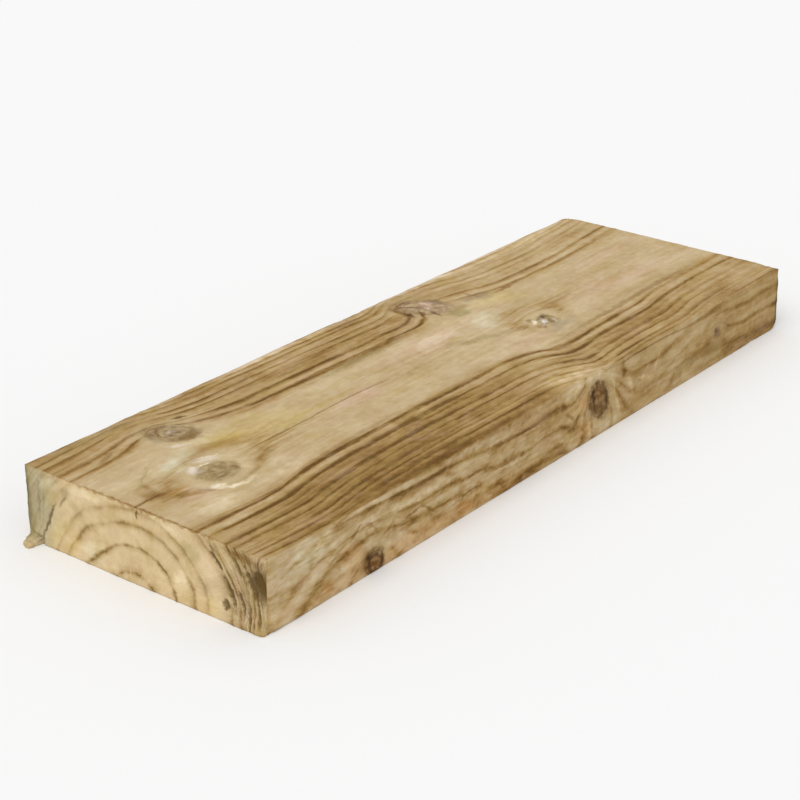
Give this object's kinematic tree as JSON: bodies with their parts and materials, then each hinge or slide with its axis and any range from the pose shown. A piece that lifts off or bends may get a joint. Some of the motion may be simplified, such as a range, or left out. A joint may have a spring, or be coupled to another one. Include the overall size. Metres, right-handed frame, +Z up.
{
  "type": "railway sleeper",
  "caption": "Rectangular softwood sleeper with eased arrises and flat faces, laid flat as a landscaping edge, step or retaining course.",
  "frame": {"origin": "middle of the bed face, at floor level", "axes": "+X along the grain towards the far end, +Y across the width, +Z up from the bed face to the top face"},
  "size_m": [0.6, 0.2, 0.05],
  "materials": {
    "treated_pine": "rough sawn, pressure treated, unsealed"
  },
  "bodies": {
    "root": {"sleeper": "treated_pine"}
  },
  "joints": []
}
